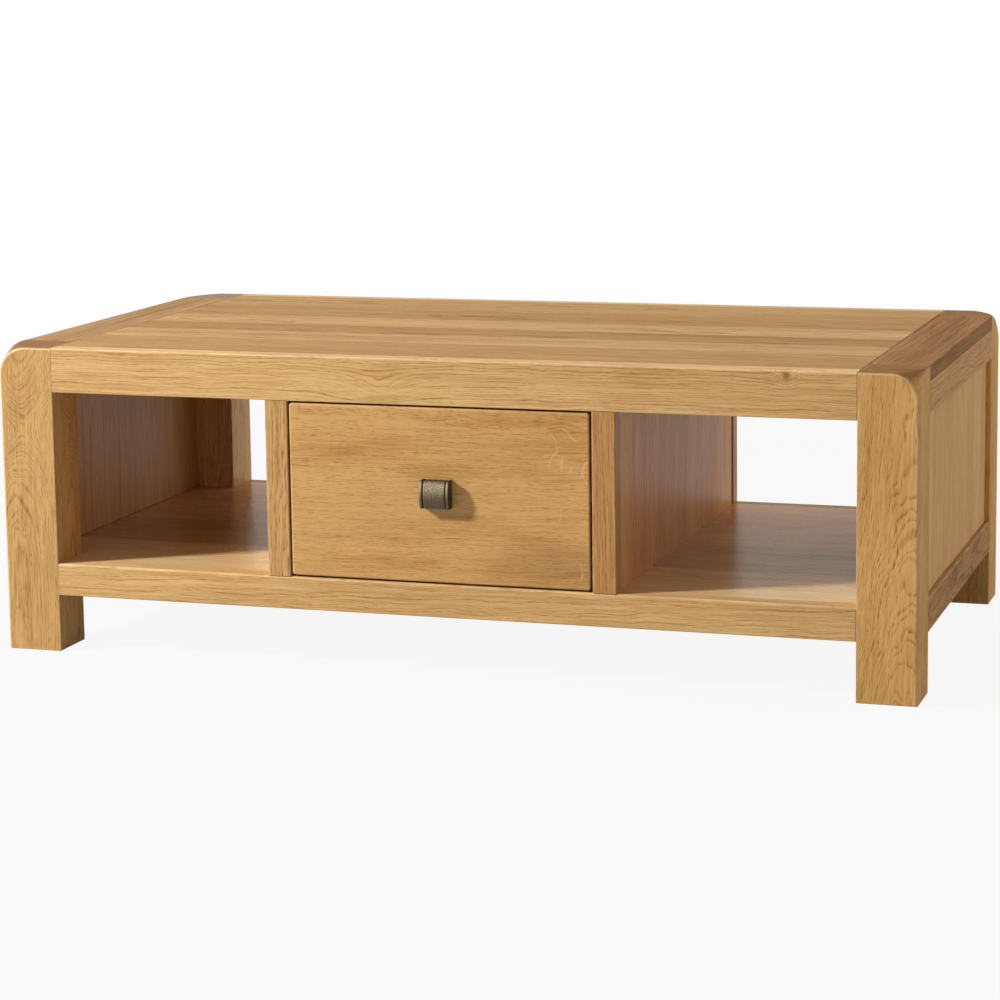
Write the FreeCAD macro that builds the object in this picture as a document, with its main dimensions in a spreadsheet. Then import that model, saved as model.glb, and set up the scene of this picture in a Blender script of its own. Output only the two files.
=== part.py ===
import FreeCAD, Part
import math
import os
import re
import Sketcher

# Oak coffee table: four corner legs, rails tenoned between them, a boarded top and shelf, an open bay
# at each end and two dovetailed drawers back to back in the middle.
# Frame: X along the length, Y from front to rear, Z up, origin on the floor under the middle.

doc = FreeCAD.newDocument("coffee_table")
sheet = doc.addObject("Spreadsheet::Sheet", "sizes")

# Every size that a maker could set by itself, in millimetres.
SIZES = {
    # whole table
    "table_length": 1200,
    "table_depth": 650,
    "table_height": 400,
    # legs: the outer corner of the head is fully round at the face and dies away behind it
    "leg_width": 75,
    "leg_depth": 70,
    "head_radius": 40,
    "head_end_radius": 2.5,
    "leg_arris": 4,
    # rails
    "rail_thickness": 22,
    "top_rail_height": 58,
    "bottom_rail_height": 42,
    "bottom_rail_level": 75,
    "rail_arris": 3,
    "small_arris": 1.5,
    "seam_arris": 0.8,
    # mortise and tenon joints
    "tenon_thickness": 8,
    "tenon_length": 30,
    "tenon_shoulder": 10,
    "joint_gap": 0.1,
    # framed ends
    "cap_thickness": 18,
    "panel_recess": 7,
    "panel_thickness": 11,
    "panel_housing": 8,
    # top and shelf
    "top_thickness": 20,
    "tongue_thickness": 6,
    "tongue_length": 8,
    "cap_tongue_inset": 12,
    "shelf_thickness": 18,
    "cleat_width": 18,
    "cleat_height": 20,
    # dividers beside the drawers
    "drawer_opening": 398,
    "stile_width": 30,
    "stile_depth": 24,
    "stub_length": 10,
    "divider_recess": 2,
    "divider_thickness": 18,
    "divider_housing": 5,
    # runners and the stop between the drawers
    "runner_height": 16,
    "runner_engagement": 7,
    "runner_gap": 0.3,
    "runner_end_gap": 2,
    "stop_thickness": 16,
    "stop_height": 40,
    "stop_gap": 0.5,
    "screw_diameter": 4,
    "screw_head_diameter": 8,
    "screw_head_height": 2.6,
    "screw_length": 28,
    "screw_inset": 40,
    # drawers
    "drawer_gap": 2.5,
    "face_thickness": 20,
    "face_corner_radius": 4,
    "face_arris": 2.5,
    "face_lap": 6,
    "side_thickness": 14,
    "side_height": 200,
    "back_thickness": 12,
    "back_drop": 10,
    "base_thickness": 6,
    "base_level": 10,
    "base_housing": 6,
    # knobs: a cast half-barrel flat on the drawer face, with a bead at each end
    "knob_width": 38,
    "knob_height": 35.5,
    "knob_projection": 16.5,
    "knob_radius": 42,
    "knob_rise": 3,
    "bead_width": 3.2,
    "bead_arris": 1,
    "bead_groove_width": 2,
    "bead_groove_depth": 1.4,
    "band_inset": 0.5,
    "bolt_diameter": 4,
    "bolt_gap": 0.2,
    "bolt_head_diameter": 9,
    "bolt_head_height": 2.5,
    "bolt_engagement": 10,
    # how far every cut runs past the wood
    "overrun": 5,
}

# Boards of the top and of the shelf from front to rear, as shares of the width that they fill.
TOP_BOARD_SHARES = (0.21, 0.13, 0.135, 0.14, 0.18, 0.205)
SHELF_BOARD_SHARES = (0.25, 0.25, 0.25, 0.25)

# Dovetails: how much of its pitch a tail takes at its wide end, and how steeply it narrows.
TAIL_WIDTH_SHARE = 0.68
TAIL_SLOPE_SHARE = 0.14
FRONT_TAILS = 4
BACK_TAILS = 3

# Places and sizes that follow from the sheet.
FORMULAS = {
    "half_length": "table_length / 2",
    "half_depth": "table_depth / 2",
    "leg_inner": "half_length - leg_width",
    "leg_back": "half_depth - leg_depth",
    "rail_inner": "half_depth - rail_thickness",
    "end_rail_inner": "half_length - rail_thickness",
    "top_rail_level": "table_height - top_rail_height",
    "cap_level": "table_height - cap_thickness",
    "top_level": "table_height - top_thickness",
    "shelf_top": "bottom_rail_level + bottom_rail_height",
    "shelf_level": "shelf_top - shelf_thickness",
    "tenon_inset": "(rail_thickness - tenon_thickness) / 2",
    "panel_outer": "half_length - panel_recess",
    "panel_inner": "panel_outer - panel_thickness",
    "tongue_level": "cap_level + (cap_thickness - tongue_thickness) / 2",
    "half_opening": "drawer_opening / 2",
    "stile_outer": "half_opening + stile_width",
    "stile_back": "half_depth - stile_depth",
    "stub_inner": "half_opening + (stile_width - tenon_thickness) / 2",
    "divider_outer": "stile_outer - divider_recess",
    "divider_inner": "divider_outer - divider_thickness",
    "half_face": "half_opening - drawer_gap",
    "face_low": "shelf_top + drawer_gap",
    "face_high": "top_rail_level - drawer_gap",
    "face_back": "half_depth - face_thickness",
    "tail_front": "half_depth - face_lap",
    "side_inner": "half_face - side_thickness",
    "side_top": "face_low + side_height",
    "drawer_end": "stop_thickness / 2 + stop_gap",
    "back_front": "drawer_end + back_thickness",
    "base_low": "face_low + base_level",
    "back_low": "base_low + base_thickness + joint_gap",
    "back_high": "side_top - back_drop",
    "runner_middle": "(back_low + back_high) / 2",
    "runner_low": "runner_middle - runner_height / 2",
    "runner_high": "runner_middle + runner_height / 2",
    "runner_tip": "half_face - runner_engagement + runner_gap",
    "runner_front": "stile_back - runner_end_gap",
    "runner_back": "stop_thickness / 2 + runner_end_gap",
    "knob_middle": "(face_low + face_high) / 2 + knob_rise",
    "knob_axis": "half_depth + knob_projection - knob_radius",
    "half_knob": "knob_width / 2",
}

for row, (alias, size) in enumerate(SIZES.items(), start=1):
    sheet.set(f"A{row}", alias)
    sheet.set(f"B{row}", str(size))
    sheet.setAlias(f"B{row}", alias)
doc.recompute()

X_AXIS = FreeCAD.Vector(1, 0, 0)
Y_AXIS = FreeCAD.Vector(0, 1, 0)
TOWARDS_FRONT = FreeCAD.Rotation(X_AXIS, 90)
TOWARDS_END = FreeCAD.Rotation(Y_AXIS, 90)
pieces = []


def expression(text):
    """Write a formula in cells of the sheet: named formulas are opened and sizes become cells."""
    def spell(match):
        word = match.group(0)
        if word in FORMULAS:
            return f"({expression(FORMULAS[word])})"
        return f"sizes.{word}" if word in SIZES else word
    return re.sub(r"[a-z][a-z_]*", spell, text)


def value(text):
    """The number that a formula gives with the sheet as it is."""
    return float(sheet.evalExpression(expression(text)))


def bind(thing, **formulas):
    for name, formula in formulas.items():
        thing.setExpression(name, expression(formula))


def place(thing, **formulas):
    for axis, formula in formulas.items():
        thing.setExpression(f"Placement.Base.{axis}", expression(formula))


def new_body(name):
    return doc.addObject("PartDesign::Body", name)


def box(body, kind, name, x, y, z):
    """A box in a body between two planes along each axis, added to it or cut out of it."""
    feature = body.newObject(f"PartDesign::{kind}Box", name)
    bind(feature, Length=f"({x[1]}) - ({x[0]})", Width=f"({y[1]}) - ({y[0]})", Height=f"({z[1]}) - ({z[0]})")
    place(feature, x=x[0], y=y[0], z=z[0])
    return feature


def rod(body, kind, name, diameter, length, turn, **where):
    """A round rod in a body, added to it or cut out of it, lying along a turned Z axis."""
    feature = body.newObject(f"PartDesign::{kind}Cylinder", name)
    bind(feature, Radius=f"({diameter}) / 2", Height=length)
    feature.Placement = FreeCAD.Placement(FreeCAD.Vector(), turn)
    place(feature, **where)
    return feature


def on_planes(edge, **planes):
    """Whether both ends of an edge lie on the given planes."""
    ends = [vertex.Point for vertex in edge.Vertexes]
    return all(math.isclose(getattr(end, axis), level, abs_tol=value("joint_gap"))
               for end in ends for axis, level in planes.items())


def ease(body, name, radius, wanted):
    """Round over the edges of a body that the wanted test picks."""
    doc.recompute()
    base = body.Tip
    chosen = [f"Edge{number}" for number, edge in enumerate(base.Shape.Edges, start=1) if wanted(edge)]
    rounding = body.newObject("PartDesign::Fillet", name)
    rounding.Base = (base, chosen)
    bind(rounding, Radius=radius)
    return rounding


def keep(thing, label):
    thing.Label = label
    pieces.append(thing)
    return thing


def mirrored(source, normal):
    copy = doc.addObject("Part::Mirroring", "mirrored")
    copy.Source = source
    copy.Normal = normal
    return copy


def both_ends(source, label):
    """Keep a left-hand piece and its mirror image at the right-hand end."""
    return keep(source, f"{label}_left"), keep(mirrored(source, X_AXIS), f"{label}_right")


def both_sides(source, label):
    """Keep a front piece and its mirror image at the rear."""
    return keep(source, f"{label}_front"), keep(mirrored(source, Y_AXIS), f"{label}_rear")


def four_corners(source, label):
    """Keep a front left piece and its images at the other three corners."""
    for piece, side in zip((source, mirrored(source, Y_AXIS)), ("front", "rear")):
        both_ends(piece, f"{label}_{side}")


def origin_plane(body, role):
    return next(plane for plane in body.Origin.OriginFeatures if plane.Role == role)


def attached_sketch(body, name, role, offset):
    """A sketch on one of the body's own planes, moved along that plane's normal."""
    sketch = body.newObject("Sketcher::SketchObject", name)
    sketch.AttachmentSupport = (origin_plane(body, role), "")
    sketch.MapMode = "FlatFace"
    sketch.setExpression("AttachmentOffset.Base.z", expression(offset))
    return sketch


def dimension(sketch, formula, *constraint):
    number = sketch.addConstraint(Sketcher.Constraint(*constraint, value(formula)))
    sketch.setExpression(f"Constraints[{number}]", expression(formula))


START, END, CENTRE = 1, 2, 3
ORIGIN_POINT = (-1, START)


def head_section(leg, name, depth, radius):
    """Outline of the leg's head seen from the front, at a depth behind its face."""
    sketch = attached_sketch(leg, name, "XZ_Plane", f"half_depth - ({depth})")
    outer, inner = -value("half_length"), -value("leg_inner")
    low, high, bend = value("top_rail_level"), value("table_height"), value(radius)
    inner_low = FreeCAD.Vector(inner, low)
    outer_low = FreeCAD.Vector(outer, low)
    bend_low = FreeCAD.Vector(outer, high - bend)
    bend_high = FreeCAD.Vector(outer + bend, high)
    inner_high = FreeCAD.Vector(inner, high)
    circle = Part.Circle(FreeCAD.Vector(outer + bend, high - bend), FreeCAD.Vector(0, 0, 1), bend)
    bottom = sketch.addGeometry(Part.LineSegment(inner_low, outer_low))
    outside = sketch.addGeometry(Part.LineSegment(outer_low, bend_low))
    corner = sketch.addGeometry(Part.ArcOfCircle(circle, math.pi / 2, math.pi))
    top = sketch.addGeometry(Part.LineSegment(bend_high, inner_high))
    inside = sketch.addGeometry(Part.LineSegment(inner_high, inner_low))
    for link in (("Coincident", bottom, END, outside, START), ("Tangent", outside, END, corner, END),
                 ("Tangent", corner, START, top, START), ("Coincident", top, END, inside, START),
                 ("Coincident", inside, END, bottom, START), ("Horizontal", bottom),
                 ("Vertical", inside)):
        sketch.addConstraint(Sketcher.Constraint(*link))
    dimension(sketch, "leg_inner", "DistanceX", bottom, START, *ORIGIN_POINT)
    dimension(sketch, "half_length", "DistanceX", bottom, END, *ORIGIN_POINT)
    dimension(sketch, "top_rail_level", "DistanceY", *ORIGIN_POINT, bottom, START)
    dimension(sketch, "table_height", "DistanceY", *ORIGIN_POINT, inside, START)
    dimension(sketch, radius, "Radius", corner)
    return sketch


def make_leg():
    """Corner leg: a square post with a lofted head, mortised for rails and grooved for the end panel."""
    leg = new_body("leg")
    box(leg, "Additive", "leg_post", ("-half_length", "-leg_inner"), ("-half_depth", "-leg_back"),
        ("0", "top_rail_level"))
    sections = [
        head_section(leg, "head_face", "0", "head_radius"),
        head_section(leg, "head_middle", "leg_depth / 2",
                     "head_end_radius + (head_radius - head_end_radius) / 4"),
        head_section(leg, "head_back", "leg_depth", "head_end_radius"),
    ]
    head = leg.newObject("PartDesign::AdditiveLoft", "leg_head")
    head.Profile = sections[0]
    head.Sections = [(section, [""]) for section in sections[1:]]
    front, inner = -value("half_depth"), -value("leg_inner")
    ease(leg, "leg_face_arris", "leg_arris", lambda edge: on_planes(edge, y=front)
         and not on_planes(edge, z=0) and not on_planes(edge, x=inner))
    ease(leg, "leg_foot_arris", "small_arris", lambda edge: on_planes(edge, z=0))
    outer, back, top = -value("half_length"), -value("leg_back"), value("table_height")
    ease(leg, "leg_seam_arris", "seam_arris", lambda edge: on_planes(edge, x=inner, z=top)
         or on_planes(edge, x=inner, y=back) or on_planes(edge, x=outer, y=back))

    # mortises for the long rails, open on the inner side, and for the end rails, open at the back
    long_y = ("-half_depth + tenon_inset - joint_gap", "-rail_inner - tenon_inset + joint_gap")
    end_x = ("-half_length + tenon_inset - joint_gap", "-end_rail_inner - tenon_inset + joint_gap")
    into_side = ("-leg_inner - tenon_length - joint_gap", "-leg_inner + overrun")
    into_back = ("-leg_back - tenon_length - joint_gap", "-leg_back + overrun")
    levels = {
        "bottom": ("bottom_rail_level", "shelf_top"),
        "long_top": ("top_rail_level", "table_height"),
        "end_top": ("top_rail_level", "cap_level"),
    }
    heights = {name: (f"{low} + tenon_shoulder - joint_gap", f"{high} - tenon_shoulder + joint_gap")
               for name, (low, high) in levels.items()}
    box(leg, "Subtractive", "long_bottom_mortise", into_side, long_y, heights["bottom"])
    box(leg, "Subtractive", "long_top_mortise", into_side, long_y, heights["long_top"])
    box(leg, "Subtractive", "end_bottom_mortise", end_x, into_back, heights["bottom"])
    box(leg, "Subtractive", "end_top_mortise", end_x, into_back, heights["end_top"])

    # groove for the end panel, and a slot for the tongue of the end cap
    box(leg, "Subtractive", "panel_groove", ("-panel_outer - joint_gap", "-panel_inner + joint_gap"),
        ("-leg_back - panel_housing - joint_gap", "-leg_back + overrun"),
        ("shelf_top - panel_housing - joint_gap", "top_rail_level + panel_housing + joint_gap"))
    box(leg, "Subtractive", "cap_slot",
        ("-half_length + cap_tongue_inset - joint_gap", "-leg_inner - cap_tongue_inset + joint_gap"),
        ("-leg_back - tongue_length - joint_gap", "-leg_back + overrun"),
        ("tongue_level - joint_gap", "tongue_level + tongue_thickness + joint_gap"))
    four_corners(leg, "leg")


def make_long_rail(name, low, high, stub_from, stub_to):
    """Long rail flush with the legs' faces, with a tenon at each end and mortises for the stiles."""
    rail = new_body(name)
    across = ("-half_depth", "-rail_inner")
    box(rail, "Additive", f"{name}_board", ("-leg_inner", "leg_inner"), across, (low, high))
    front, top, bottom = -value("half_depth"), value(high), value(low)
    ease(rail, f"{name}_top_arris", "rail_arris", lambda edge: on_planes(edge, y=front, z=top))
    ease(rail, f"{name}_low_arris", "small_arris", lambda edge: on_planes(edge, y=front, z=bottom))
    tenon_y = ("-half_depth + tenon_inset", "-rail_inner - tenon_inset")
    box(rail, "Additive", f"{name}_tenons", ("-leg_inner - tenon_length", "leg_inner + tenon_length"),
        tenon_y, (f"{low} + tenon_shoulder", f"{high} - tenon_shoulder"))
    stub_y = (f"{tenon_y[0]} - joint_gap", f"{tenon_y[1]} + joint_gap")
    for side, sign in (("left", "-"), ("right", "")):
        middle = f"{sign}(stub_inner + tenon_thickness / 2)"
        box(rail, "Subtractive", f"{name}_stub_{side}",
            (f"{middle} - tenon_thickness / 2 - joint_gap", f"{middle} + tenon_thickness / 2 + joint_gap"),
            stub_y, (stub_from, stub_to))
    both_sides(rail, name)


def make_end_rail(name, low, high, groove, eased):
    """Short rail across an end, tenoned into two legs and grooved for the end panel."""
    rail = new_body(name)
    box(rail, "Additive", f"{name}_board", ("-half_length", "-end_rail_inner"), ("-leg_back", "leg_back"),
        (low, high))
    outer, levels = -value("half_length"), [value(level) for level in eased]
    ease(rail, f"{name}_arris", "small_arris",
         lambda edge: any(on_planes(edge, x=outer, z=level) for level in levels))
    box(rail, "Additive", f"{name}_tenons",
        ("-half_length + tenon_inset", "-end_rail_inner - tenon_inset"),
        ("-leg_back - tenon_length", "leg_back + tenon_length"),
        (f"{low} + tenon_shoulder", f"{high} - tenon_shoulder"))
    box(rail, "Subtractive", f"{name}_groove", ("-panel_outer - joint_gap", "-panel_inner + joint_gap"),
        ("-leg_back - overrun", "leg_back + overrun"), groove)
    both_ends(rail, name)


def make_ends():
    """Framed ends: two rails, a housed panel with upright grain, and a cap board that closes the top."""
    make_end_rail("end_bottom_rail", "bottom_rail_level", "shelf_top",
                  ("shelf_top - panel_housing - joint_gap", "shelf_top + overrun"),
                  ("bottom_rail_level", "shelf_top"))
    make_end_rail("end_top_rail", "top_rail_level", "cap_level",
                  ("top_rail_level - overrun", "top_rail_level + panel_housing + joint_gap"),
                  ("top_rail_level",))
    panel = new_body("end_panel")
    box(panel, "Additive", "panel_board", ("-panel_outer", "-panel_inner"),
        ("-leg_back - panel_housing", "leg_back + panel_housing"),
        ("shelf_top - panel_housing", "top_rail_level + panel_housing"))
    both_ends(panel, "end_panel")

    cap = new_body("end_cap")
    box(cap, "Additive", "cap_board", ("-half_length", "-leg_inner"), ("-leg_back", "leg_back"),
        ("cap_level", "table_height"))
    outer, inner, top = -value("half_length"), -value("leg_inner"), value("table_height")
    ease(cap, "cap_arris", "head_end_radius", lambda edge: on_planes(edge, x=outer, z=top))
    ease(cap, "cap_seam_arris", "seam_arris", lambda edge: on_planes(edge, x=inner, z=top))
    box(cap, "Additive", "cap_tongues", ("-half_length + cap_tongue_inset", "-leg_inner - cap_tongue_inset"),
        ("-leg_back - tongue_length", "leg_back + tongue_length"),
        ("tongue_level", "tongue_level + tongue_thickness"))
    box(cap, "Subtractive", "cap_groove", ("-leg_inner - tongue_length - joint_gap", "-leg_inner + overrun"),
        ("-leg_back - overrun", "leg_back + overrun"),
        ("tongue_level - joint_gap", "tongue_level + tongue_thickness + joint_gap"))
    both_ends(cap, "end_cap")


def board_edges(shares):
    """Front and rear planes of boards that fill the width between the long rails."""
    start = 0.0
    for share in shares:
        low = f"-rail_inner + 2 * (rail_inner) * {start}"
        start = round(start + share, 6)
        yield low, f"-rail_inner + 2 * (rail_inner) * {start}"


def make_top():
    """Top boards glued edge to edge between the long rails, tongued into the end caps."""
    for number, (low, high) in enumerate(board_edges(TOP_BOARD_SHARES), start=1):
        board = new_body(f"top_board_{number}")
        box(board, "Additive", f"top_plank_{number}", ("-leg_inner", "leg_inner"), (low, high),
            ("top_level", "table_height"))
        box(board, "Additive", f"top_tongue_{number}",
            ("-leg_inner - tongue_length", "leg_inner + tongue_length"),
            (f"max({low}; -leg_back + joint_gap)", f"min({high}; leg_back - joint_gap)"),
            ("tongue_level", "tongue_level + tongue_thickness"))
        keep(board, f"top_board_{number}")


def make_shelf():
    """Shelf boards on cleats along the bottom rails, notched round the legs and housed for the dividers."""
    cleat = new_body("shelf_cleat")
    box(cleat, "Additive", "cleat_batten", ("-leg_inner + joint_gap", "leg_inner - joint_gap"),
        ("-rail_inner", "-rail_inner + cleat_width"), ("shelf_level - cleat_height", "shelf_level"))
    both_sides(cleat, "shelf_cleat")
    notch_y = {1: ("-half_depth", "-leg_back + joint_gap"),
               len(SHELF_BOARD_SHARES): ("leg_back - joint_gap", "half_depth")}
    for number, (low, high) in enumerate(board_edges(SHELF_BOARD_SHARES), start=1):
        board = new_body(f"shelf_board_{number}")
        box(board, "Additive", f"shelf_plank_{number}", ("-end_rail_inner", "end_rail_inner"), (low, high),
            ("shelf_level", "shelf_top"))
        if number in notch_y:
            for side, across in (("left", ("-half_length", "-leg_inner + joint_gap")),
                                 ("right", ("leg_inner - joint_gap", "half_length"))):
                box(board, "Subtractive", f"shelf_notch_{number}_{side}", across, notch_y[number],
                    ("shelf_level - overrun", "shelf_top + overrun"))
        for side, across in (("left", ("-divider_outer - joint_gap", "-divider_inner + joint_gap")),
                             ("right", ("divider_inner - joint_gap", "divider_outer + joint_gap"))):
            box(board, "Subtractive", f"shelf_housing_{number}_{side}", across, (low, high),
                ("shelf_top - divider_housing - joint_gap", "shelf_top + overrun"))
        keep(board, f"shelf_board_{number}")


def screw_places():
    """Distances from the middle of the table to the screws of one runner, near its two ends."""
    return {"front": "runner_front - screw_inset", "back": "runner_back + screw_inset"}


def make_dividers():
    """Dividers beside the drawers: a stub-tenoned stile at each face, and a panel housed in the shelf."""
    stile = new_body("divider_stile")
    box(stile, "Additive", "stile_post", ("-stile_outer", "-half_opening"), ("-half_depth", "-stile_back"),
        ("shelf_top", "top_rail_level"))
    front = -value("half_depth")
    upright = (-value("stile_outer"), -value("half_opening"))
    ease(stile, "stile_arris", "small_arris",
         lambda edge: any(on_planes(edge, x=level, y=front) for level in upright))
    box(stile, "Additive", "stile_stubs", ("-stub_inner - tenon_thickness", "-stub_inner"),
        ("-half_depth + tenon_inset", "-rail_inner - tenon_inset"),
        ("shelf_top - stub_length", "top_rail_level + stub_length"))
    tongue_middle = "(divider_outer + divider_inner) / 2"
    box(stile, "Subtractive", "stile_groove",
        (f"-{tongue_middle} - tongue_thickness / 2 - joint_gap",
         f"-{tongue_middle} + tongue_thickness / 2 + joint_gap"),
        ("-stile_back - tongue_length - joint_gap", "-stile_back + overrun"),
        ("shelf_top - overrun", "top_rail_level + overrun"))
    four_corners(stile, "divider_stile")

    panel = new_body("divider_panel")
    box(panel, "Additive", "divider_board", ("-divider_outer", "-divider_inner"),
        ("-stile_back", "stile_back"), ("shelf_top - divider_housing", "top_level"))
    box(panel, "Additive", "divider_tongues",
        (f"-{tongue_middle} - tongue_thickness / 2", f"-{tongue_middle} + tongue_thickness / 2"),
        ("-stile_back - tongue_length", "stile_back + tongue_length"),
        ("shelf_top + joint_gap", "top_rail_level - joint_gap"))
    for place_name, distance in screw_places().items():
        for side, sign in (("front", "-"), ("rear", "")):
            rod(panel, "Subtractive", f"pilot_{place_name}_{side}", "screw_diameter + 2 * joint_gap",
                "screw_length + joint_gap", TOWARDS_END, x="-runner_tip - screw_length - joint_gap",
                y=f"{sign}({distance})", z="runner_middle")
    both_ends(panel, "divider_panel")


def make_screw(place_name, distance):
    """Countersunk wood screw that holds a runner to the divider panel."""
    shank = doc.addObject("Part::Cylinder", f"screw_shank_{place_name}")
    bind(shank, Radius="screw_diameter / 2", Height="screw_length")
    head = doc.addObject("Part::Cone", f"screw_head_{place_name}")
    bind(head, Radius1="screw_diameter / 2", Radius2="screw_head_diameter / 2", Height="screw_head_height")
    for part, start in ((shank, "-runner_tip - screw_length"), (head, "-runner_tip - screw_head_height")):
        part.Placement = FreeCAD.Placement(FreeCAD.Vector(), TOWARDS_END)
        place(part, x=start, y=f"-({distance})", z="runner_middle")
    screw = doc.addObject("Part::Fuse", f"screw_{place_name}")
    screw.Base = shank
    screw.Tool = head
    return screw


def make_runners():
    """Hardwood runners on the divider panels, their screws, and the stop between the two drawers."""
    runner = new_body("drawer_runner")
    box(runner, "Additive", "runner_batten", ("-divider_inner", "-runner_tip"),
        ("-runner_front", "-runner_back"), ("runner_low", "runner_high"))
    screws = []
    for place_name, distance in screw_places().items():
        rod(runner, "Subtractive", f"runner_hole_{place_name}", "screw_diameter + 2 * joint_gap",
            "divider_inner - runner_tip + 2 * overrun", TOWARDS_END, x="-divider_inner - overrun",
            y=f"-({distance})", z="runner_middle")
        sink = runner.newObject("PartDesign::SubtractiveCone", f"runner_sink_{place_name}")
        bind(sink, Radius1="screw_diameter / 2 + joint_gap", Radius2="screw_head_diameter / 2 + joint_gap",
             Height="screw_head_height")
        sink.Placement = FreeCAD.Placement(FreeCAD.Vector(), TOWARDS_END)
        place(sink, x="-runner_tip - screw_head_height", y=f"-({distance})", z="runner_middle")
        screws.append(make_screw(place_name, distance))
    four_corners(runner, "drawer_runner")
    screws += [mirrored(screw, Y_AXIS) for screw in screws]
    screws += [mirrored(screw, X_AXIS) for screw in screws]
    group = doc.addObject("Part::Compound", "screw_group")
    group.Links = screws
    keep(group, "runner_screws")

    stop = new_body("drawer_stop")
    box(stop, "Additive", "stop_batten", ("-divider_inner + joint_gap", "divider_inner - joint_gap"),
        ("-stop_thickness / 2", "stop_thickness / 2"), ("shelf_top", "shelf_top + stop_height"))
    keep(stop, "drawer_stop")


def tails(body, kind, name, count, low, high, root, tip, gap):
    """A row of dovetails on a drawer side, from root to tip along Y, widening towards the tip.

    They are added to the side, and cut with a gap round them out of the board that they join.
    """
    pitch = f"(({high}) - ({low})) / {count}"
    half_tip = f"{pitch} * {TAIL_WIDTH_SHARE} / 2 + {gap}"
    half_root = f"{half_tip} - abs(({root}) - ({tip})) * {TAIL_SLOPE_SHARE}"
    to_rear = value(tip) > value(root)
    halves = (half_root, half_tip) if to_rear else (half_tip, half_root)
    ends = (f"{root} - ({gap})", f"{tip} + ({gap})") if to_rear else (f"{tip} - ({gap})", f"{root} + ({gap})")
    for number in range(count):
        middle = f"({low}) + ({pitch}) * {number + 0.5}"
        tail = body.newObject(f"PartDesign::{kind}Wedge", f"{name}_{number + 1}")
        bind(tail, Xmin=f"-half_face - ({gap})", Xmax=f"-side_inner + ({gap})", X2min=f"-half_face - ({gap})",
             X2max=f"-side_inner + ({gap})", Ymin=ends[0], Ymax=ends[1],
             Zmin=f"{middle} - ({halves[0]})", Zmax=f"{middle} + ({halves[0]})",
             Z2min=f"{middle} - ({halves[1]})", Z2max=f"{middle} + ({halves[1]})")


FRONT_JOINT = (FRONT_TAILS, "face_low", "side_top", "-face_back", "-tail_front")
BACK_JOINT = (BACK_TAILS, "back_low", "back_high", "-back_front", "-drawer_end")


def make_side():
    """Drawer side: lapped dovetails at the face, through dovetails at the back, grooved for its runner."""
    side = new_body("drawer_side")
    thick = ("-half_face", "-side_inner")
    box(side, "Additive", "side_board", thick, ("-face_back", "-drawer_end"), ("face_low", "side_top"))
    box(side, "Subtractive", "side_back_zone", ("-half_face - overrun", "-side_inner + overrun"),
        ("-back_front - joint_gap", "-drawer_end + overrun"),
        ("back_low - joint_gap", "back_high + joint_gap"))
    tails(side, "Additive", "front_tail", *FRONT_JOINT, "0")
    tails(side, "Additive", "back_tail", BACK_JOINT[0], BACK_JOINT[1], BACK_JOINT[2],
          "-back_front - joint_gap", "-drawer_end", "0")
    box(side, "Subtractive", "side_runner_groove", ("-half_face - overrun", "-half_face + runner_engagement"),
        ("-runner_front - runner_gap", "-drawer_end + overrun"),
        ("runner_low - runner_gap", "runner_high + runner_gap"))
    box(side, "Subtractive", "side_base_groove",
        ("-side_inner - base_housing - joint_gap", "-side_inner + overrun"),
        ("-tail_front - overrun", "-drawer_end + overrun"),
        ("base_low - joint_gap", "base_low + base_thickness + joint_gap"))
    return side


def make_face():
    """Drawer face: a solid board with eased edges, socketed for the sides and grooved for the base."""
    face = new_body("drawer_face")
    box(face, "Additive", "face_board", ("-half_face", "half_face"), ("-half_depth", "-face_back"),
        ("face_low", "face_high"))
    edge, low, high, front = value("half_face"), value("face_low"), value("face_high"), -value("half_depth")
    ease(face, "face_corners", "face_corner_radius",
         lambda line: any(on_planes(line, x=x, z=z) for x in (-edge, edge) for z in (low, high)))
    ease(face, "face_arris_round", "face_arris", lambda line: on_planes(line, y=front))
    tails(face, "Subtractive", "socket_left", *FRONT_JOINT, "joint_gap")
    doc.recompute()
    other = face.newObject("PartDesign::Mirrored", "sockets_right")
    other.Originals = [feature for feature in face.Group if feature.Name.startswith("socket_left")]
    other.MirrorPlane = (origin_plane(face, "YZ_Plane"), [""])
    face.Tip = other
    box(face, "Subtractive", "face_base_groove",
        ("-side_inner - base_housing - joint_gap", "side_inner + base_housing + joint_gap"),
        ("-face_back - base_housing - joint_gap", "-face_back + overrun"),
        ("base_low - joint_gap", "base_low + base_thickness + joint_gap"))
    rod(face, "Subtractive", "face_bolt_hole", "bolt_diameter + 2 * bolt_gap",
        "face_thickness + 2 * overrun", TOWARDS_FRONT, x="0", y="-face_back + overrun", z="knob_middle")
    return face


def make_back():
    """Drawer back: stands on the base between the sides, with pins that pass through to their outsides."""
    back = new_body("drawer_back")
    box(back, "Additive", "back_board", ("-half_face", "half_face"), ("-back_front", "-drawer_end"),
        ("back_low", "back_high"))
    tails(back, "Subtractive", "back_socket", *BACK_JOINT, "joint_gap")
    doc.recompute()
    other = back.newObject("PartDesign::Mirrored", "back_sockets_right")
    other.Originals = [feature for feature in back.Group if feature.Name.startswith("back_socket")
                       and feature is not other]
    other.MirrorPlane = (origin_plane(back, "YZ_Plane"), [""])
    back.Tip = other
    return back


def make_base():
    """Drawer base: a thin panel in the grooves of the sides and face, under the back."""
    base = new_body("drawer_base")
    box(base, "Additive", "base_board", ("-side_inner - base_housing", "side_inner + base_housing"),
        ("-face_back - base_housing", "-drawer_end"), ("base_low", "base_low + base_thickness"))
    return base


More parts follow.
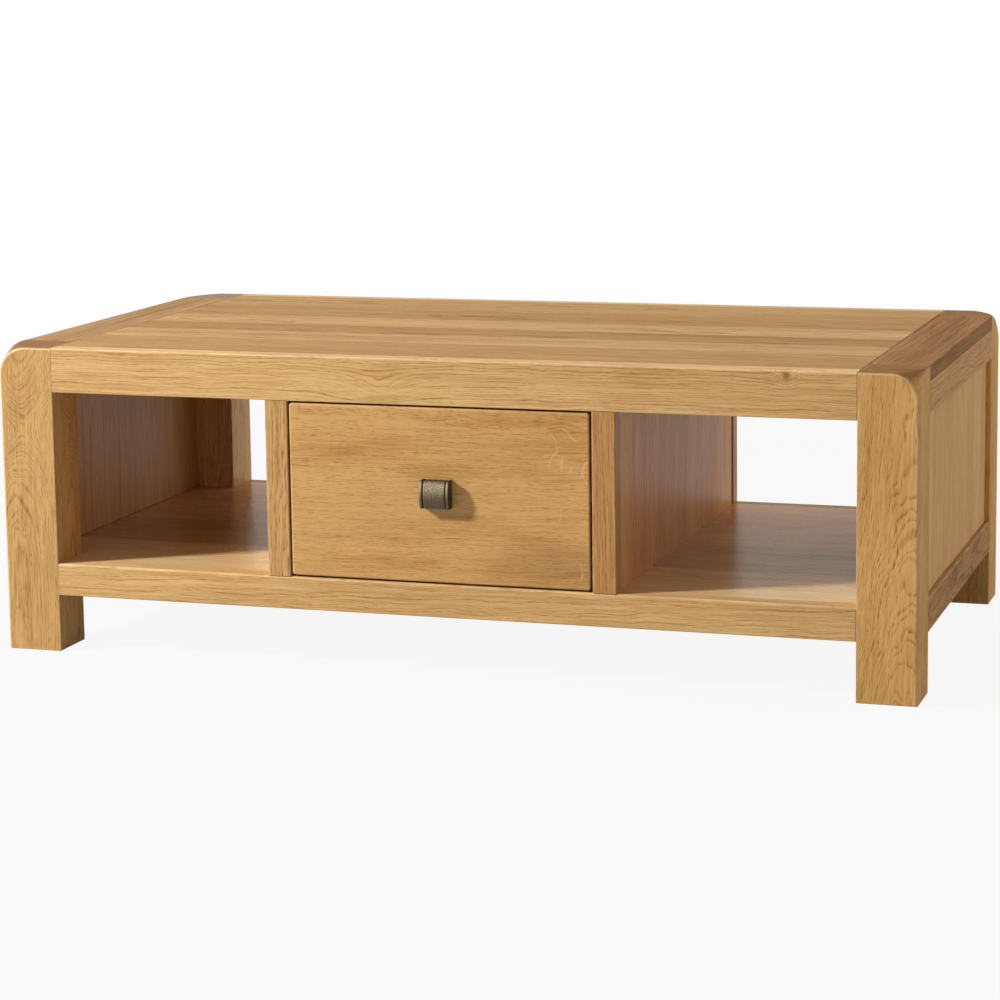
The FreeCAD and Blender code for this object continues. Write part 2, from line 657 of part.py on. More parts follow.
def barrel_section(knob, name, offset, inset):
    """Side outline of the knob: flat back, level top and bottom, and a front that is part of a circle."""
    sketch = attached_sketch(knob, name, "YZ_Plane", offset)
    middle, centre = value("knob_middle"), -value("knob_axis")
    bend = value(f"knob_radius - ({inset})")
    half = value(f"knob_height / 2 - ({inset})")
    back = -value("half_depth")
    edge = centre - math.sqrt(bend ** 2 - half ** 2)
    lean = math.asin(half / bend)
    circle = Part.Circle(FreeCAD.Vector(centre, middle), FreeCAD.Vector(0, 0, 1), bend)
    corners = [FreeCAD.Vector(*point) for point in
               ((back, middle - half), (edge, middle - half), (edge, middle + half), (back, middle + half))]
    bottom = sketch.addGeometry(Part.LineSegment(corners[0], corners[1]))
    front = sketch.addGeometry(Part.ArcOfCircle(circle, math.pi - lean, math.pi + lean))
    top = sketch.addGeometry(Part.LineSegment(corners[2], corners[3]))
    rear = sketch.addGeometry(Part.LineSegment(corners[3], corners[0]))
    for link in (("Coincident", bottom, END, front, END), ("Coincident", front, START, top, START),
                 ("Coincident", top, END, rear, START), ("Coincident", rear, END, bottom, START),
                 ("Horizontal", bottom), ("Horizontal", top), ("Vertical", rear)):
        sketch.addConstraint(Sketcher.Constraint(*link))
    dimension(sketch, f"knob_radius - ({inset})", "Radius", front)
    dimension(sketch, "knob_axis", "DistanceX", front, CENTRE, *ORIGIN_POINT)
    dimension(sketch, "knob_middle", "DistanceY", *ORIGIN_POINT, front, CENTRE)
    dimension(sketch, "half_depth", "DistanceX", rear, START, *ORIGIN_POINT)
    dimension(sketch, f"knob_height / 2 - ({inset})", "DistanceY", front, CENTRE, top, END)
    dimension(sketch, f"knob_height / 2 - ({inset})", "DistanceY", bottom, START, front, CENTRE)
    return sketch


def make_knob():
    """Cast knob: a half-barrel band between two grooves and end beads, with a blind hole for its bolt."""
    knob = new_body("drawer_knob")
    groove_start = "half_knob - bead_width"
    band_start = f"{groove_start} - bead_groove_width"
    lengths = {
        "core": ("-half_knob", "knob_width", "bead_groove_depth"),
        "band": (f"-({band_start})", f"2 * ({band_start})", "band_inset"),
        "bead_left": ("-half_knob", "bead_width", "0"),
        "bead_right": (groove_start, "bead_width", "0"),
    }
    for name, (start, length, inset) in lengths.items():
        pad = knob.newObject("PartDesign::Pad", f"knob_{name}")
        pad.Profile = barrel_section(knob, f"knob_{name}_section", start, inset)
        bind(pad, Length=length)
    end = value("half_knob")
    ease(knob, "bead_rounding", "bead_arris", lambda edge: isinstance(edge.Curve, Part.Circle)
         and (on_planes(edge, x=-end) or on_planes(edge, x=end)))
    rod(knob, "Subtractive", "knob_bolt_hole", "bolt_diameter + 2 * joint_gap",
        "bolt_engagement + joint_gap + overrun", TOWARDS_FRONT,
        x="0", y="-half_depth + overrun", z="knob_middle")
    return knob


def make_bolt():
    """Machine screw through the drawer face into the knob, its flat head inside the drawer."""
    bolt = new_body("knob_bolt")
    rod(bolt, "Additive", "bolt_shank", "bolt_diameter", "face_thickness + bolt_engagement", TOWARDS_FRONT,
        x="0", y="-face_back", z="knob_middle")
    rod(bolt, "Additive", "bolt_head", "bolt_head_diameter", "bolt_head_height", TOWARDS_FRONT,
        x="0", y="-face_back + bolt_head_height", z="knob_middle")
    return bolt


def make_drawers():
    """Two like drawers: the front one, and its mirror image that opens to the rear."""
    side = make_side()
    boards = {
        "side_left": side,
        "side_right": mirrored(side, X_AXIS),
        "face": make_face(),
        "back": make_back(),
        "base": make_base(),
        "knob": make_knob(),
        "knob_bolt": make_bolt(),
    }
    for name, board in boards.items():
        keep(board, f"front_drawer_{name}")
        keep(mirrored(board, Y_AXIS), f"rear_drawer_{name}")


make_leg()
make_long_rail("top_rail", "top_rail_level", "table_height",
               "top_rail_level - overrun", "top_rail_level + stub_length + joint_gap")
make_long_rail("bottom_rail", "bottom_rail_level", "shelf_top",
               "shelf_top - stub_length - joint_gap", "shelf_top + overrun")
make_ends()
make_top()
make_shelf()
make_dividers()
make_runners()
make_drawers()
doc.recompute()

for thing in doc.Objects:
    if "Invalid" in thing.State or "Error" in thing.State:
        raise RuntimeError(f"{thing.Label} failed: {thing.State}")
for piece in pieces:
    if piece.Shape.isNull() or not piece.Shape.isValid():
        raise RuntimeError(f"{piece.Label} has no valid shape")

os.makedirs("parts", exist_ok=True)
for piece in pieces:
    piece.Shape.exportStep(f"parts/{piece.Label}.step")
print(f"{len(pieces)} pieces written")
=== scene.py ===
import math

import bpy
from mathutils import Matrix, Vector


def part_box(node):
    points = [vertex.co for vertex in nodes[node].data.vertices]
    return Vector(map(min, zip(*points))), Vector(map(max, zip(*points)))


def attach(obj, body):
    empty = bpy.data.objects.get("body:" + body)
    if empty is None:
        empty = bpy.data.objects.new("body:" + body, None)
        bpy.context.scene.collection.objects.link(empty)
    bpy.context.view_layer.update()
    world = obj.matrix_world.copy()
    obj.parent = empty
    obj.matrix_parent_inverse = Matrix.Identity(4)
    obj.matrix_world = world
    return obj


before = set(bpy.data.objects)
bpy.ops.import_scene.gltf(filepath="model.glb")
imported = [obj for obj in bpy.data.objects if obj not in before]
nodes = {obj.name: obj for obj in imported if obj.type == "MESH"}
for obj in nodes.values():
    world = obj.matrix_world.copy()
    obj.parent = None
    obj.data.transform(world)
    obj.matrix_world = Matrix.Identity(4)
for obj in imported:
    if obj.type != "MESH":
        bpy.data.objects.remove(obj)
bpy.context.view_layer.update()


# Legs: four solid oak posts, each cut from one squared stick with its grain upright, so that the head
# shows end grain on top. They are rounded over at the outer corner and finished in clear satin lacquer.
def tint(red, green, blue):
    """Linear colour of a shade that a screen shows as red, green and blue out of 255."""
    return tuple(((part / 255 + 0.055) / 1.055) ** 2.4 for part in (red, green, blue)) + (1.0,)


PORE = tint(122, 78, 38)
RAY_FLECK = tint(238, 202, 142)
KNOT_CORE = tint(104, 60, 26)
JOINT_LINE = tint(70, 44, 24)
PALE_EDGE_AND_HIGHLIGHT = tint(232, 202, 152)
FAR = 9.0
NO_JOINTS = ((-FAR,) * 3, (FAR,) * 3)


def wire(tree, kind, *sources, pick=0, **settings):
    """Add a node, feed its inputs in order with sockets or plain values, and hand back one output."""
    made = tree.nodes.new(kind)
    for name, setting in settings.items():
        setattr(made, name, setting)
    for socket, source in zip(made.inputs, sources):
        if isinstance(source, bpy.types.NodeSocket):
            tree.links.new(source, socket)
        elif source is not None:
            socket.default_value = source
    return made.outputs[pick]


def reckon(tree, operation, *sources):
    return wire(tree, "ShaderNodeMath", *sources, operation=operation)


def vectors(tree, operation, *sources, pick=0):
    return wire(tree, "ShaderNodeVectorMath", *sources, pick=pick, operation=operation)


def step_up(tree, source, low, high, start=0.0, end=1.0):
    """A soft step of a value from start to end while the source goes from low to high."""
    return wire(tree, "ShaderNodeMapRange", source, low, high, start, end, interpolation_type="SMOOTHSTEP")


def blend(tree, share, first, second):
    """Mix two colours; the node's inputs for numbers and vectors, which come before them, stay unused."""
    unused = (None,) * 5
    return wire(tree, "ShaderNodeMix", share, *unused, first, second, pick=2, data_type="RGBA")


def clouds(tree, place, detail=2.0, rough=0.5, pick=0):
    """Soft noise about 0.5 with one cycle for each unit of its place; the second output is a vector."""
    return wire(tree, "ShaderNodeTexNoise", place, None, 1.0, detail, rough, pick=pick)


def about_zero(tree, noise):
    return reckon(tree, "SUBTRACT", noise, 0.5)


def object_place(tree):
    return wire(tree, "ShaderNodeTexCoord", pick=3)


def new_group(name, inputs, outputs):
    """An empty shader group; the length of an input's default says whether it is a number or a colour."""
    tree = bpy.data.node_groups.new(name, "ShaderNodeTree")
    kinds = {0: "NodeSocketFloat", 3: "NodeSocketVector", 4: "NodeSocketColor"}
    for label, default in inputs.items():
        length = len(default) if isinstance(default, tuple) else 0
        socket = tree.interface.new_socket(label, in_out="INPUT", socket_type=kinds[length])
        socket.default_value = default
    for label, length in outputs.items():
        tree.interface.new_socket(label, in_out="OUTPUT", socket_type=kinds[length])
    return tree, tree.nodes.new("NodeGroupInput").outputs, tree.nodes.new("NodeGroupOutput").inputs


def place_group(tree, group, values):
    """Put a shader group in a material and feed its named inputs with sockets or plain values."""
    placed = tree.nodes.new("ShaderNodeGroup")
    placed.node_tree = group
    for label, value in values.items():
        if isinstance(value, bpy.types.NodeSocket):
            tree.links.new(value, placed.inputs[label])
        else:
            placed.inputs[label].default_value = value
    return placed.outputs


def new_material(label):
    material = bpy.data.materials.new(label)
    material.use_nodes = True
    return material, material.node_tree, material.node_tree.nodes["Principled BSDF"].inputs


def dress(name, material):
    """Give a piece of the frame this material and no other."""
    slots = nodes[name].data.materials
    slots.clear()
    slots.append(material)


def oak_figure_group():
    """Oak as it grows: yearly rings round the heart, ring-porous dashes along the grain, and ray flecks.

    The place is measured in metres from the heart of the tree, with X up the trunk.
    """
    tree, given, result = new_group(
        "oak_figure",
        {"Place": (0.0, 0.0, 0.0), "Ring Width": 0.0035, "Ring Contrast": 0.45, "Mottle": 0.8,
         "Patch Run": 1.8, "Pores": 0.8, "Row Share": 0.45, "Flecks": 0.0, "End Grain": 0.0,
         "Bulge": 0.0, "Knot": 0.0, "Dullness": 0.42, "Pale": tint(219, 181, 124),
         "Deep": tint(186, 140, 82), "Pore Colour": PORE},
        {"Colour": 4, "Roughness": 0, "Height": 0})
    # cycles of each pattern in a metre up the trunk, and in a metre across it
    cycles = {"sway": (16.0, 42.0), "swell": (1.4, 8.0), "ripple": (36.0, 130.0),
              "rows": (26.0, 560.0), "vessels": (90.0, 880.0), "fibres": (9.0, 340.0),
              "rays": (36.0, 26.0), "some rays": (30.0, 30.0)}
    patch_cycles_across = 20.0

    def along(pattern):
        run, across = cycles[pattern]
        return vectors(tree, "MULTIPLY", spot, (run, across, across))

    # the trunk is never a true cylinder: its fibres sway from side to side, and its rings swell slowly
    sway_reach = 0.006
    swell_reach = 0.011
    ripple_reach = 0.0016
    spot = given["Place"]
    sway = vectors(tree, "SUBTRACT", clouds(tree, along("sway"), detail=1.0, pick=1), (0.5, 0.5, 0.5))
    spot = vectors(tree, "ADD", spot, vectors(tree, "MULTIPLY", sway, (0.0, sway_reach, sway_reach)))
    distance = vectors(tree, "LENGTH", vectors(tree, "MULTIPLY", spot, (0.0, 1.0, 1.0)), pick=1)
    radius = reckon(tree, "MULTIPLY_ADD", clouds(tree, along("swell")), swell_reach, distance)
    radius = reckon(tree, "MULTIPLY_ADD", clouds(tree, along("ripple")), ripple_reach, radius)
    radius = reckon(tree, "ADD", radius, given["Bulge"])

    # lean years take turns with fat ones, and each year begins with its open, darker spring wood
    lean_cycles = 0.37
    lean_shift = 2.6
    spring_end = 0.45
    spring_start = 0.9
    years = reckon(tree, "DIVIDE", radius, given["Ring Width"])
    lean_years = wire(tree, "ShaderNodeTexNoise", None, reckon(tree, "MULTIPLY", years, lean_cycles),
                      1.0, 1.0, noise_dimensions="1D")
    season = reckon(tree, "FRACT", reckon(tree, "MULTIPLY_ADD", lean_years, lean_shift, years))
    spring = reckon(tree, "MAXIMUM", step_up(tree, season, 0.0, spring_end, start=1.0, end=0.0),
                    step_up(tree, season, spring_start, 1.0))

    # open vessels show as dark dashes, in long rows or short, most of them in the spring wood
    late_share = 0.25
    rows = step_up(tree, clouds(tree, along("rows"), detail=1.0), low=0.44, high=0.62)
    vessels = step_up(tree, clouds(tree, along("vessels"), detail=1.0), low=0.52, high=0.62)
    open_share = wire(tree, "ShaderNodeMix", given["Row Share"], None, vessels, rows)
    crowded = reckon(tree, "MULTIPLY_ADD", spring, 1.0 - late_share, late_share)
    pores = reckon(tree, "MULTIPLY", reckon(tree, "MULTIPLY", open_share, crowded), given["Pores"])
    fibres = clouds(tree, along("fibres"), detail=3.0, rough=0.6)
    fibre_tone = about_zero(tree, fibres)
    patch_scale = wire(tree, "ShaderNodeCombineXYZ", given["Patch Run"],
                       patch_cycles_across, patch_cycles_across)
    patches = clouds(tree, vectors(tree, "MULTIPLY", spot, patch_scale), detail=3.0)

    # rays show as thin pale lines here and there, where a face is cut along them
    beside = reckon(tree, "ABSOLUTE", about_zero(tree, clouds(tree, along("rays"), detail=0.0)))
    thin = step_up(tree, beside, low=0.004, high=0.03, start=1.0, end=0.0)
    some = step_up(tree, clouds(tree, along("some rays")), low=0.5, high=0.6)
    flecks = reckon(tree, "MULTIPLY", reckon(tree, "MULTIPLY", thin, some), given["Flecks"])

    # rings, patches and fibres deepen the pale tone, and the marks lie over it
    even_depth = 0.22
    fibre_depth = 1.9
    end_darkness = 0.85
    depth = reckon(tree, "MULTIPLY", spring, given["Ring Contrast"])
    depth = reckon(tree, "MULTIPLY_ADD", about_zero(tree, patches), given["Mottle"], depth)
    depth = reckon(tree, "MULTIPLY_ADD", fibre_tone, fibre_depth, depth)
    depth = reckon(tree, "ADD", depth, even_depth)
    colour = blend(tree, depth, given["Pale"], given["Deep"])
    colour = blend(tree, pores, colour, given["Pore Colour"])
    colour = blend(tree, flecks, colour, RAY_FLECK)
    colour = blend(tree, given["Knot"], colour, KNOT_CORE)
    end_colour = blend(tree, end_darkness, colour, given["Pore Colour"])
    tree.links.new(blend(tree, given["End Grain"], colour, end_colour), result["Colour"])

    # the lacquer sinks into the pores, which are duller and lower than the fibres beside them
    fibre_dullness = 0.16
    pore_dullness = 0.15
    fibre_height = 0.35
    dullness = reckon(tree, "MULTIPLY_ADD", fibre_tone, fibre_dullness, given["Dullness"])
    tree.links.new(reckon(tree, "MULTIPLY_ADD", pores, pore_dullness, dullness), result["Roughness"])
    raised = reckon(tree, "MULTIPLY", fibres, fibre_height)
    tree.links.new(reckon(tree, "MULTIPLY_ADD", pores, -1.0, raised), result["Height"])
    return tree


def board_edges_group():
    """Masks of a squared board: a patchy band along its edges, its rounded face arrises, and the joints
    beside it.
    """
    tree, given, result = new_group(
        "board_edges",
        {"Place": (0.0, 0.0, 0.0), "Facing": (0.0, 0.0, 1.0), "Low Corner": (-FAR,) * 3,
         "High Corner": (FAR,) * 3, "Low Joint": (-FAR,) * 3, "High Joint": (FAR,) * 3,
         "Edge Width": 0.004, "Line Width": 0.0009},
        {"Near Edge": 0, "Rounded": 0, "Joint": 0})

    def inside(low, high):
        from_low = vectors(tree, "SUBTRACT", given["Place"], given[low])
        to_high = vectors(tree, "SUBTRACT", given[high], given["Place"])
        parts = wire(tree, "ShaderNodeSeparateXYZ", vectors(tree, "MINIMUM", from_low, to_high))
        return parts.node.outputs

    # on a face of the board one distance is nothing, so the middle one of the three is that to an edge
    edge_patch_cycles = (45.0, 45.0, 45.0)
    x, y, z = inside("Low Corner", "High Corner")
    low_two = reckon(tree, "MINIMUM", x, y)
    high_two = reckon(tree, "MAXIMUM", x, y)
    to_edge = reckon(tree, "MAXIMUM", low_two, reckon(tree, "MINIMUM", high_two, z))
    near = wire(tree, "ShaderNodeMapRange", to_edge, 0.0, given["Edge Width"], 1.0, 0.0)
    patchy = step_up(tree, clouds(tree, vectors(tree, "MULTIPLY", given["Place"], edge_patch_cycles)),
                     low=0.3, high=0.62)
    tree.links.new(reckon(tree, "MULTIPLY", near, patchy), result["Near Edge"])
    x, y, z = inside("Low Joint", "High Joint")
    to_joint = reckon(tree, "MINIMUM", reckon(tree, "MINIMUM", x, y), z)
    line = wire(tree, "ShaderNodeMapRange", to_joint, 0.0, given["Line Width"], 1.0, 0.0)
    tree.links.new(line, result["Joint"])

    # the surface turns away from the face only along a rounded arris
    _, outward, _ = wire(tree, "ShaderNodeSeparateXYZ", given["Facing"]).node.outputs
    outward = reckon(tree, "ABSOLUTE", outward)
    past_side = step_up(tree, outward, low=0.4, high=0.6)
    before_face = step_up(tree, outward, low=0.93, high=0.99, start=1.0, end=0.0)
    tree.links.new(reckon(tree, "MULTIPLY", past_side, before_face), result["Rounded"])
    return tree


def knot_group():
    """Where a branch grew: the rings bend round it in ovals, and its core is small and dark."""
    tree, given, result = new_group(
        "knot", {"Place": (0.0, 0.0, 0.0), "Centre": (0.0, 0.0, 0.0), "Reach": (0.02, 0.02, 0.02),
                 "Bend": 0.02, "Core": 0.1, "Darkness": 0.85}, {"Bulge": 0, "Knot": 0})
    wobble_cycles = (160.0, 160.0, 160.0)
    wobble_share = 0.12
    from_centre = vectors(tree, "SUBTRACT", given["Place"], given["Centre"])
    distance = vectors(tree, "LENGTH", vectors(tree, "DIVIDE", from_centre, given["Reach"]), pick=1)
    squared = reckon(tree, "MULTIPLY", distance, distance)
    bulge = reckon(tree, "DIVIDE", given["Bend"], reckon(tree, "ADD", squared, 1.0))
    tree.links.new(bulge, result["Bulge"])
    wobble = clouds(tree, vectors(tree, "MULTIPLY", given["Place"], wobble_cycles))
    ragged = reckon(tree, "MULTIPLY_ADD", about_zero(tree, wobble), wobble_share, distance)
    core = reckon(tree, "DIVIDE", ragged, given["Core"])
    stained = step_up(tree, core, low=0.2, high=1.5, start=given["Darkness"], end=0.0)
    tree.links.new(stained, result["Knot"])
    return tree


oak_figure = oak_figure_group()
knot = knot_group()
board_edges = board_edges_group()
RELIEF_STRENGTH = 0.35
PORE_DEPTH = 0.0003
LINE_STRENGTH = 0.75
ARRIS_PAINTED_HIGHLIGHT = 0.4
ARRIS_DULLNESS = 0.3
FLECKED_FROM = 0.4


def branch(centre, reach, bend, core, darkness=0.85):
    """Where the rings bulge by bend over a reach, with a dark core in shares of that reach."""
    return {"Centre": centre, "Reach": reach, "Bend": bend, "Core": core, "Darkness": darkness}


def oak(name, heart, run, pale, deep, ring=0.0035, contrast=0.45, mottle=0.8, patch_run=1.8, pores=0.8,
        rows=0.45, flecks=0.0, branches=(), joints=NO_JOINTS, edge_mix=0.35, overlay=PALE_EDGE_AND_HIGHLIGHT,
        shine=0.25, dull=0.42, sheen=0.0, arris=0.0):
    """Give a board its own piece of the tree: the heart is a point of the trunk's axis and run its lean."""
    low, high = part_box(name)
    material, tree, sockets = new_material(f"oak_{name}")
    sockets["Specular IOR Level"].default_value = shine
    # the fibres under the lacquer shine in the wood's own colour
    sockets["Metallic"].default_value = sheen
    place = object_place(tree)
    grain = Vector(run).normalized()
    lean = Vector((1, 0, 0)).rotation_difference(grain).to_euler()
    trunk = wire(tree, "ShaderNodeMapping", place, heart, lean, vector_type="TEXTURE")
    outward = wire(tree, "ShaderNodeNewGeometry", pick=1)
    facing = reckon(tree, "ABSOLUTE", vectors(tree, "DOT_PRODUCT", outward, grain, pick=1))
    end_grain = step_up(tree, facing, low=0.5, high=0.95)
    if flecks:
        # the rays come to the surface toward the board's right end
        rightward = wire(tree, "ShaderNodeSeparateXYZ", place)
        flecks = step_up(tree, rightward, high.x * FLECKED_FROM, high.x, start=0.0, end=flecks)
    bulge, dark = 0.0, 0.0
    for grown_branch in branches:
        bend = place_group(tree, knot, {"Place": place, **grown_branch})
        bulge = reckon(tree, "ADD", bend["Bulge"], bulge)
        dark = reckon(tree, "MAXIMUM", bend["Knot"], dark)
    figure = place_group(tree, oak_figure, {
        "Place": trunk, "Ring Width": ring, "Ring Contrast": contrast, "Mottle": mottle,
        "Patch Run": patch_run, "Pores": pores, "Row Share": rows, "Flecks": flecks, "End Grain": end_grain,
        "Bulge": bulge, "Knot": dark, "Dullness": dull, "Pale": pale, "Deep": deep, "Pore Colour": PORE})
    edges = place_group(tree, board_edges, {
        "Place": place, "Facing": outward, "Low Corner": low, "High Corner": high,
        "Low Joint": joints[0], "High Joint": joints[1]})
    # near its edges a board turns pale, partly rubbed wear and partly a painted highlight; on the caps the
    # edges turn darker
    colour = blend(tree, reckon(tree, "MULTIPLY", edges["Near Edge"], edge_mix), figure["Colour"], overlay)
    # the rounded arrises get a glossier coat and a painted highlight in the pale colour
    if arris:
        arris_coat_and_highlight = reckon(tree, "MULTIPLY", edges["Rounded"], arris)
        colour = blend(tree, reckon(tree, "MULTIPLY", arris_coat_and_highlight, ARRIS_PAINTED_HIGHLIGHT), colour, overlay)
        tree.links.new(arris_coat_and_highlight, sockets["Coat Weight"])
        sockets["Coat Roughness"].default_value = ARRIS_DULLNESS
    colour = blend(tree, reckon(tree, "MULTIPLY", edges["Joint"], LINE_STRENGTH), colour, JOINT_LINE)
    tree.links.new(colour, sockets["Base Color"])
    tree.links.new(figure["Roughness"], sockets["Roughness"])
    relief = wire(tree, "ShaderNodeBump", RELIEF_STRENGTH, PORE_DEPTH, None, figure["Height"])
    tree.links.new(relief, sockets["Normal"])
    dress(name, material)


LEGS = {
    "leg_front_left": {
        "heart": (-0.571, -0.277, 0.3), "run": (0.035, 0.004, 1.0),
        "pale": tint(215, 171, 109), "deep": tint(183, 134, 75), "shine": 0.12, "dull": 0.6, "arris": 0.7,
        "branches": [branch(centre=(-0.565, -0.25, 0.29), reach=(1.0, 1.0, 0.058), bend=0.026, core=0.01)]},
    "leg_front_right": {
        "heart": (0.588, -0.255, 0.2), "run": (0.03, -0.01, 1.0),
        "pale": tint(231, 182, 114), "deep": tint(197, 144, 79), "shine": 0.08, "dull": 0.7, "arris": 0.4,
        "branches": [branch(centre=(0.575, -0.25, 0.36), reach=(1.0, 1.0, 0.4), bend=0.056, core=0.01),
                     branch(centre=(0.572, -0.293, 0.4), reach=(0.02, 0.011, 0.03), bend=0.0, core=0.8)]},
    "leg_rear_left": {
        "heart": (-0.51, 0.22, 0.2), "run": (0.03, 0.02, 1.0), "pale": tint(236, 198, 142),
        "deep": tint(206, 162, 110), "shine": 0.06, "dull": 0.42, "sheen": 0.15, "arris": 0.4},
    "leg_rear_right": {
        "heart": (0.54, 0.24, 0.2), "run": (0.02, -0.04, 1.0), "pale": tint(240, 188, 118),
        "deep": tint(208, 152, 84), "shine": 0.08, "dull": 0.7, "arris": 0.3},
}
for name, cut in LEGS.items():
    oak(name, **cut, ring=0.0015, contrast=0.36, mottle=1.3, patch_run=5.0, pores=0.75, edge_mix=0.3)


# Long rails: straight oak boards along the front and rear, flush with the legs and tenoned into them.
# The joint shows as a fine dark line, and the top rail's upper arris has a glossier coat and a painted
# highlight.
RAILS = {
    "top_rail_front": {
        "heart": (0.1, -0.20, 0.24), "run": (1.0, 0.012, 0.012), "arris": 0.7,
        "branches": [branch(centre=(0.44, -0.325, 0.394), reach=(0.012, 0.05, 0.016), bend=0.008, core=0.42,
                            darkness=0.65),
                     branch(centre=(-0.075, -0.3, 0.362), reach=(0.035, 1.0, 0.02), bend=0.016, core=0.01)]},
    "bottom_rail_front": {"heart": (-0.2, -0.21, 0.02), "run": (1.0, -0.014, 0.008), "arris": 0.15},
    "top_rail_rear": {"heart": (0.0, 0.22, 0.28), "run": (1.0, 0.02, -0.006), "arris": 0.7},
    "bottom_rail_rear": {"heart": (0.1, 0.21, 0.02), "run": (1.0, -0.02, 0.008), "arris": 0.15},
}
RAIL_PALE, RAIL_DEEP = tint(228, 186, 126), tint(186, 136, 75)
TIGHT = 0.0005
leg_low, leg_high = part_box("leg_front_left")
LEG_INNER = -leg_high.x
between_legs = ((-LEG_INNER - TIGHT, -FAR, -FAR), (LEG_INNER, FAR, FAR))
for name, cut in RAILS.items():
    oak(name, **cut, pale=RAIL_PALE, deep=RAIL_DEEP, ring=0.0021, pores=0.45, rows=0.25,
        joints=between_legs, shine=0.12, dull=0.5)


# Framed ends: a top and a bottom rail, and a thin panel of upright boards housed in grooves behind them.
# A browner cap board lies across the top of each end, its grain from front to rear.
MATT_LACQUER = {"shine": 0.06, "dull": 0.68}
END_RAIL = {"pale": tint(222, 172, 120), "deep": tint(188, 134, 86), **MATT_LACQUER}
LOW_END_RAIL = {"pale": tint(194, 146, 96), "deep": tint(150, 104, 62), **MATT_LACQUER}
PANELS = {"left": {"pale": tint(218, 174, 122), "deep": tint(192, 144, 94)},
          "right": {"pale": tint(242, 195, 137), "deep": tint(214, 161, 105), **MATT_LACQUER}}
CAPS = {"left": {"pale": tint(188, 150, 104), "deep": tint(144, 106, 68)},
        "right": {"pale": tint(168, 124, 80), "deep": tint(116, 78, 47)}}
CAP_ARRIS = tint(124, 80, 48)
LEG_BACK = -leg_high.y
HALF_LENGTH = -leg_low.x
between_depth = ((-FAR, -LEG_BACK, -FAR), (FAR, LEG_BACK, FAR))
for side, way in (("left", -1), ("right", 1)):
    outer = way * HALF_LENGTH
    oak(f"end_top_rail_{side}", heart=(outer - way * 0.06, 0.05, 0.3), run=(0.0, 1.0, 0.03), **END_RAIL,
        ring=0.0024, contrast=0.35, pores=0.6, joints=between_depth,
        branches=[branch(centre=(outer - way * 0.2, 0.17, 0.35), reach=(1.0, 0.13, 1.0), bend=0.02,
                         core=0.01)])
    oak(f"end_bottom_rail_{side}", heart=(outer - way * 0.08, -0.1, 0.10), run=(way * 0.02, 1.0, 0.01),
        **LOW_END_RAIL, joints=between_depth)
    oak(f"end_panel_{side}", heart=(outer, way * 0.9, 0.2), run=(0.01, 0.004, 1.0), **PANELS[side],
        ring=0.006, contrast=0.4, mottle=1.5, pores=0.5)
    cap_inner = sorted((way * LEG_INNER, way * FAR))
    oak(f"end_cap_{side}", heart=(outer - way * 0.36, 0.0, 0.36), run=(way * 0.02, 1.0, 0.0), **CAPS[side],
        ring=0.011, contrast=0.18, mottle=2.0, pores=0.5, shine=0.04, dull=0.72, overlay=CAP_ARRIS, edge_mix=0.7,
        joints=((cap_inner[0], -LEG_BACK, -FAR), (cap_inner[1], LEG_BACK, FAR)))


# Top: six oak boards of mixed widths and tones, glued edge to edge, planed flush with the rails and
# tongued into the end caps. Each is cut from its own place in a trunk.
TOP_TONES = (
    (tint(198, 158, 107), tint(162, 121, 75)), (tint(206, 168, 117), tint(176, 135, 87)),
    (tint(186, 146, 97), tint(152, 111, 67)), (tint(208, 170, 118), tint(178, 137, 89)),
    (tint(188, 149, 99), tint(154, 113, 69)), (tint(198, 160, 109), tint(168, 127, 81)),
)
for number, (pale, deep) in enumerate(TOP_TONES, start=1):
    low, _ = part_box(f"top_board_{number}")
    oak(f"top_board_{number}", pale=pale, deep=deep, run=(1.0, 0.008 * (-1) ** number, 0.01),
        heart=(0.3 - 0.13 * number, low.y - 0.05 + 0.02 * number, 0.33 - 0.02 * (number % 3)),
        contrast=0.4, mottle=1.5, pores=0.7, joints=between_legs, shine=0.04, dull=0.72)


# Shelf: four wide oak boards level with the bottom rails, notched round the legs. They rest on planed
# hardwood cleats that run along the inside of the bottom rails.
SHELF_TONES = (
    (tint(242, 208, 151), tint(210, 172, 116)), (tint(212, 177, 125), tint(184, 143, 92)),
    (tint(226, 184, 127), tint(199, 151, 95)), (tint(234, 183, 124), tint(206, 148, 92)),
)
for number, (pale, deep) in enumerate(SHELF_TONES, start=1):
    low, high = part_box(f"shelf_board_{number}")
    oak(f"shelf_board_{number}", pale=pale, deep=deep, run=(1.0, 0.006, 0.012 * (-1) ** number),
        heart=(0.2 - 0.17 * number, (low.y + high.y) / 2 + 0.03, 0.02 + 0.01 * number),
        contrast=0.3, mottle=1.3, pores=0.45, shine=0.02, dull=0.26, sheen=0.15,
        joints=((-FAR, low.y, -FAR), (FAR, high.y, FAR)))
BATTEN = {"pale": tint(222, 194, 146), "deep": tint(198, 160, 108), "pores": 0.1}
for side, way in (("front", -1), ("rear", 1)):
    oak(f"shelf_cleat_{side}", heart=(0.0, way * 0.2, 0.06), run=(1.0, 0.01, 0.01), **BATTEN)


